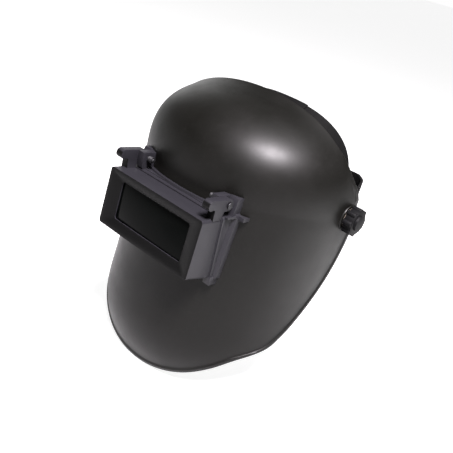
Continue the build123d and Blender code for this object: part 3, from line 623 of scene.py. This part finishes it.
def join(name, *things):
    """Joins objects into the first and names it."""
    bpy.ops.object.select_all(action="DESELECT")
    for thing in things:
        thing.select_set(True)
    bpy.context.view_layer.objects.active = things[0]
    bpy.ops.object.join()
    things[0].name = name
    return things[0]


def shell_piece(look):
    """The shell with a round-edged boss at each ear pivot."""
    parts = [shell_mesh()]
    low, high = BOSS_X[0] - BOSS_ROOT, BOSS_X[1]
    profile = [
        (low, 0), (low, BOSS_RADIUS), (high - BOSS_ROUND, BOSS_RADIUS),
        (high - BOSS_ROUND / 3, BOSS_RADIUS - BOSS_ROUND / 3), (high, BOSS_RADIUS - BOSS_ROUND), (high, 0),
    ]
    for sign in (1, -1):
        points, faces = lathe([(sign * x, r) for x, r in profile])
        parts.append(new_object(f"boss_{sign}", points, faces))
    return dress(join("shell_piece", *parts), "shell", look)


def coil(side):
    """A close-wound torsion spring round a hinge pin, as one wire swept along a helix."""
    points, faces = [], []
    ring = SPRING_RING
    count = SPRING_STEPS * SPRING_TURNS + 1
    for i in range(count):
        turn = 2 * math.pi * i / SPRING_STEPS
        out = Vector((0, math.cos(turn), math.sin(turn)))
        along = SPRING_X + SPRING_PITCH * i / SPRING_STEPS
        middle = Vector((along, *HINGE_PLACE)) + out * SPRING_RADIUS
        for k in range(ring):
            angle = 2 * math.pi * k / ring
            place = middle + SPRING_WIRE * (out * math.cos(angle) + Vector((1, 0, 0)) * math.sin(angle))
            points.append((side * place.x, place.y, place.z))
    for i in range(count - 1):
        for k in range(ring):
            n = (k + 1) % ring
            faces.append((i * ring + k, i * ring + n, (i + 1) * ring + n, (i + 1) * ring + k))
    faces.append(tuple(range(ring)))
    faces.append(tuple((count - 1) * ring + k for k in reversed(range(ring))))
    return new_object(f"coil_{side}", points, faces)


# ---------------------------------------------------------------- pads


def band_height(points):
    """Height along the headband's own axis, which leans with its tilt."""
    tilt = math.radians(BAND_TILT)
    return points[:, 2] * math.cos(tilt) - points[:, 1] * math.sin(tilt)


def mesh_points(mesh):
    values = np.empty(len(mesh.vertices) * 3)
    mesh.vertices.foreach_get("co", values)
    return values.reshape(-1, 3)


def mesh_normals(mesh):
    values = np.empty(len(mesh.vertices) * 3)
    mesh.vertex_normals.foreach_get("vector", values)
    return values.reshape(-1, 3)


def evaluated(thing, name):
    """A new object holding the mesh as its modifiers leave it."""
    graph = bpy.context.evaluated_depsgraph_get()
    mesh = bpy.data.meshes.new_from_object(thing.evaluated_get(graph), depsgraph=graph)
    copy = bpy.data.objects.new(name, mesh)
    bpy.context.scene.collection.objects.link(copy)
    return copy


def shrunk_copy(node):
    """A pad's CAD solid, drawn in to leave room for its swelling and remeshed evenly."""
    work = bmesh.new()
    work.from_mesh(frame["nodes"][node].data)
    bmesh.ops.remove_doubles(work, verts=work.verts, dist=1e-6)
    work.normal_update()
    moved = [vert.co - vert.normal * PAD_SHRINK for vert in work.verts]
    for vert, place in zip(work.verts, moved):
        vert.co = place
    mesh = bpy.data.meshes.new(node + "_core")
    work.to_mesh(mesh)
    work.free()
    core = bpy.data.objects.new(node + "_core", mesh)
    bpy.context.scene.collection.objects.link(core)
    remesh = core.modifiers.new("remesh", "REMESH")
    remesh.mode = "VOXEL"
    remesh.voxel_size = PAD_VOXEL
    fine = evaluated(core, node + "_fine")
    bpy.data.objects.remove(core)
    return fine


def swell(pad):
    """Blows the pad up by cloth pressure, each point moving no further than the cap."""
    start = mesh_points(pad.data)
    cloth = pad.modifiers.new("cloth", "CLOTH")
    cloth.settings.quality = 4
    cloth.settings.use_pressure = True
    cloth.settings.uniform_pressure_force = PAD_PRESSURE
    cloth.settings.effector_weights.gravity = 0.0
    cloth.point_cache.frame_start, cloth.point_cache.frame_end = 1, PAD_FRAMES
    for step in range(1, PAD_FRAMES + 1):
        bpy.context.scene.frame_set(step)
        bpy.context.view_layer.update()
    grown = evaluated(pad, pad.name + "_grown")
    moved = mesh_points(grown.data) - start
    length = np.linalg.norm(moved, axis=1, keepdims=True)
    moved *= np.minimum(1.0, PAD_CAP / np.maximum(length, 1e-9))
    pad.modifiers.remove(cloth)
    bpy.data.objects.remove(grown)
    bpy.context.scene.frame_set(1)
    pad.data.vertices.foreach_set("co", (start + moved).ravel())


def stitch(place, along, outwards):
    """One thread of a seam as a small flattened lozenge."""
    across = along.cross(outwards).normalized()
    points = [place + along * STITCH_LENGTH / 2, place - along * STITCH_LENGTH / 2]
    ring = []
    for k in range(6):
        turn = math.pi * k / 3
        ring.append(place + (across * math.cos(turn) + outwards * math.sin(turn)) * STITCH_THICKNESS / 2)
    faces = []
    for k in range(6):
        faces.append((0, 2 + k, 2 + (k + 1) % 6))
        faces.append((1, 2 + (k + 1) % 6, 2 + k))
    return points + ring, faces


def seam_threads(points, normals, seam):
    """Stitches along one seam height, on the side of the pad that faces the head."""
    centre = np.array([0.0, PAD_CENTRE_Y])
    inward = np.sum(normals[:, :2] * (points[:, :2] - centre), axis=1) < 0
    near = np.flatnonzero(inward & (np.abs(band_height(points) - seam) < SEAM_CATCH))
    turn = np.arctan2(points[near, 1] - centre[1], points[near, 0])
    near = near[np.argsort(turn)]
    all_points, all_faces = [], []
    last = None
    for index in near:
        place = Vector(points[index])
        if last is None or (place - last).length > STITCH_SPACING:
            if last is not None and (place - last).length < STITCH_BREAK:
                start = len(all_points)
                made, faces = stitch(place, (place - last).normalized(), Vector(normals[index]))
                all_points += made
                all_faces += [tuple(start + i for i in face) for face in faces]
            last = place
    return all_points, all_faces


def padded_piece(node, look, seams):
    """A sewn pad: swollen cloth with a pressed-in seam and its stitches near each long edge."""
    pad = shrunk_copy(node)
    swell(pad)
    smooth_over = pad.modifiers.new("smooth", "SUBSURF")
    smooth_over.levels = 1
    fine = evaluated(pad, node + "_piece")
    bpy.data.objects.remove(pad)
    points, normals = mesh_points(fine.data), mesh_normals(fine.data)
    height = band_height(points)
    pressed = np.zeros(len(points))
    for seam in seams:
        pressed += SEAM_DEPTH * np.exp(-(((height - seam) / SEAM_WIDTH) ** 2))
    points = points - normals * pressed[:, None]
    fine.data.vertices.foreach_set("co", points.ravel())
    fine.data.polygons.foreach_set("use_smooth", [True] * len(fine.data.polygons))
    threads, faces = [], []
    for seam in seams:
        made, made_faces = seam_threads(points, normals, seam)
        faces += [tuple(len(threads) + i for i in face) for face in made_faces]
        threads += made
    joined = join(node + "_piece", fine, new_object(node + "_threads", threads, faces))
    dress(joined, node, look)


# ---------------------------------------------------------------- assembly


def slot_looks():
    """A material for each of the record's material slots."""
    return {
        "shell_black": shell_look(),
        "frame_grey": frame_plastic("frame_plastic"),
        "strap_black": strap_look(),
        "knob_black": moulded("knob_plastic", KNOB_BLACK, 0.52, spec=0.05),
        "clear_plate": glass_look("clear_plate", PLATE_BLACK, 0.09),
        "shade_glass": glass_look("shade_glass", SHADE_GREEN, 0.02),
        "gasket_rubber": moulded("rubber", RUBBER_BLACK, 0.75, grain=500, spec=0.2),
        "steel": metal_look("zinc_steel", ZINC, 0.4),
        "spring_steel": metal_look("black_spring", SPRING_BLACK, 0.5),
        "brass_insert": metal_look("brass", BRASS, 0.35),
        "washer_fibre": moulded("fibre", FIBRE_BROWN, 0.7, grain=1500, grain_depth=0.00005),
        "brow_pad": cloth_look("brow_cloth", CLOTH_BLACK),
    }


def build_pieces():
    looks = slot_looks()
    shell_piece(looks["shell_black"])
    refined("lens_base_frame", looks["frame_grey"], FRAME_ROUND, segments=3)
    # the lift front's plastic gets painted shade on its forward-looking faces
    refined("lift_front", darken_front(frame_plastic("lift_plastic")), FRAME_ROUND, segments=3)
    dress(join("hinge_springs_piece", coil(1), coil(-1)), "hinge_springs", looks["spring_steel"])
    padded_piece("sweatband", looks["brow_pad"], SWEATBAND_SEAMS)
    padded_piece("nape_pad", looks["brow_pad"], NAPE_PAD_SEAMS)
    done = {"shell", "lens_base_frame", "lift_front", "hinge_springs", "sweatband", "nape_pad"}
    for node in sorted(frame["nodes"]):
        if node not in done:
            refined(node, looks[SLOT_OF[node]])


# ---------------------------------------------------------------- stage


def soft_box(name, place, target, size, power, colour, shape):
    light = bpy.data.lights.new(name, "AREA")
    light.shape = shape
    light.size = size
    light.energy = power
    light.color = colour
    thing = bpy.data.objects.new(name, light)
    bpy.context.scene.collection.objects.link(thing)
    thing.location = place
    aim = Vector(target) - Vector(place)
    thing.rotation_mode = "QUATERNION"
    thing.rotation_quaternion = aim.to_track_quat("-Z", "Y")


def glow_round(look, place, low, high, span):
    """A value that changes from low to high with the distance from a place on the floor."""
    away = look.add("ShaderNodeVectorMath", operation="DISTANCE")
    away.inputs[1].default_value = (*place, 0)
    look.link(look.place, away.inputs[0])
    return look.spread(away.outputs["Value"], low, high, *span)


def floor_look():
    """Pale paper whose own glow keeps it white, darker in front of the helmet and brighter on its left."""
    look = Look("pale_floor")
    shade = look.spread(look.noise(0.8, 2), 0.0, 1.0)
    look.link(look.mix(shade, *FLOOR_GREYS), look.shader.inputs["Base Color"])
    look.set(Roughness=0.9, Specular_IOR_Level=0.1, Emission_Color=(*WHITE, 1.0))
    total = look.add("ShaderNodeMath", operation="ADD")
    look.link(glow_round(look, DARK_PLACE, *DARK_GLOW, DARK_SPAN), total.inputs[0])
    look.link(glow_round(look, PATCH_PLACE, *PATCH_GLOW, PATCH_SPAN), total.inputs[1])
    look.link(total.outputs[0], look.shader.inputs["Emission Strength"])
    return look


def build_floor():
    floor_z = cad_bounds[0][2] - FLOOR_DROP
    signs = ((-1, -1), (1, -1), (1, 1), (-1, 1))
    corners = [(x * FLOOR_REACH, y * FLOOR_REACH, floor_z) for x, y in signs]
    floor = new_object("floor", corners, [(0, 1, 2, 3)])
    floor.data.materials.append(floor_look().material)


def build_surroundings():
    """A backdrop that is white at the horizon and dark above it."""
    world = bpy.data.worlds.new("studio")
    bpy.context.scene.world = world
    world.use_nodes = True
    nodes, links = world.node_tree.nodes, world.node_tree.links
    height = nodes.new("ShaderNodeSeparateXYZ")
    links.new(nodes.new("ShaderNodeTexCoord").outputs["Generated"], height.inputs[0])
    fade = nodes.new("ShaderNodeMapRange")
    for name, value in zip(("From Min", "From Max", "To Min", "To Max"), (*HORIZON_BAND, *HORIZON_GLOW)):
        fade.inputs[name].default_value = value
    links.new(height.outputs["Z"], fade.inputs["Value"])
    links.new(fade.outputs["Result"], nodes["Background"].inputs["Strength"])
    nodes["Background"].inputs["Color"].default_value = (*WHITE, 1)


def build_stage():
    build_floor()
    build_surroundings()
    for light in LIGHTS:
        soft_box(*light)


def build_camera():
    data = bpy.data.cameras.new("camera")
    data.sensor_width = 36
    data.lens = CAMERA_LENS
    data.clip_start, data.clip_end = 0.01, 100
    camera = bpy.data.objects.new("camera", data)
    bpy.context.scene.collection.objects.link(camera)
    camera.location = CAMERA_PLACE
    level = (Vector(CAMERA_TARGET) - Vector(CAMERA_PLACE)).to_track_quat("-Z", "Y")
    camera.rotation_mode = "QUATERNION"
    camera.rotation_quaternion = level @ Quaternion((0, 0, 1), math.radians(CAMERA_ROLL))
    bpy.context.scene.camera = camera


build_camera()
build_pieces()
build_stage()
bpy.context.scene.view_settings.view_transform = "Standard"
